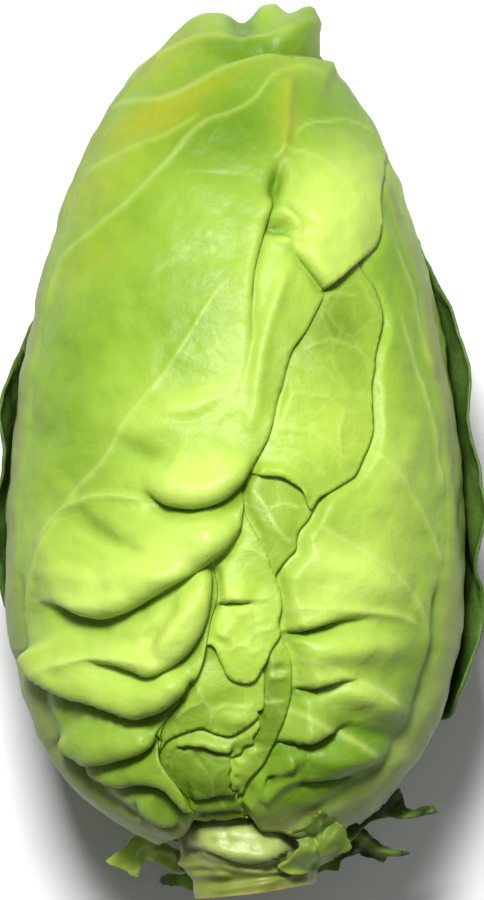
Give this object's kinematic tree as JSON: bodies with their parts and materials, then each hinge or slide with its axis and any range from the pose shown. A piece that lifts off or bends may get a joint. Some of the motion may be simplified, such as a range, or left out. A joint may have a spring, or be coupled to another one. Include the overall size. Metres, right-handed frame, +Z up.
{
  "type": "pointed cabbage",
  "caption": "Pointed cabbage head with smooth overlapping leaves, pleated lower leaves, a curled tip, a cut stump and torn leaf bases, lying on its back.",
  "frame": {"origin": "on the surface that the head lies on, under the middle of its bounding box", "axes": "+Z up, towards the pictured face; +Y along the head from the stump to the tip; +X to the right when seen from above with the tip away from the viewer"},
  "size_m": [0.1338, 0.2485, 0.1177],
  "materials": {
    "head_leaf": "fresh waxy yellow-green leaf with pale veins and a pale grey-green midrib",
    "inner_leaf": "fresh waxy light green inner leaf with fine pale veins",
    "wrapper_leaf": "dark green outer leaf with a thick pale midrib",
    "torn_leaf": "torn green leaf base with a ragged edge",
    "cut_stem": "moist pale yellow-green cut stem with a fibrous face",
    "heart_leaf": "tight pale yellow-green inner leaves"
  },
  "bodies": {
    "root": {"stem": "cut_stem", "heart": "heart_leaf", "leaf_left": "head_leaf", "leaf_right": "head_leaf", "leaf_middle": "inner_leaf", "leaf_under_middle": "inner_leaf", "leaf_tongue": "inner_leaf", "leaf_strip": "inner_leaf", "leaf_throat": "inner_leaf", "leaf_throat_folds": "inner_leaf", "wrapper_left": "wrapper_leaf", "wrapper_right": "wrapper_leaf", "stub_left": "torn_leaf", "stub_low": "torn_leaf", "stub_front": "torn_leaf", "stub_right_low": "torn_leaf", "stub_right": "torn_leaf"}
  },
  "joints": []
}
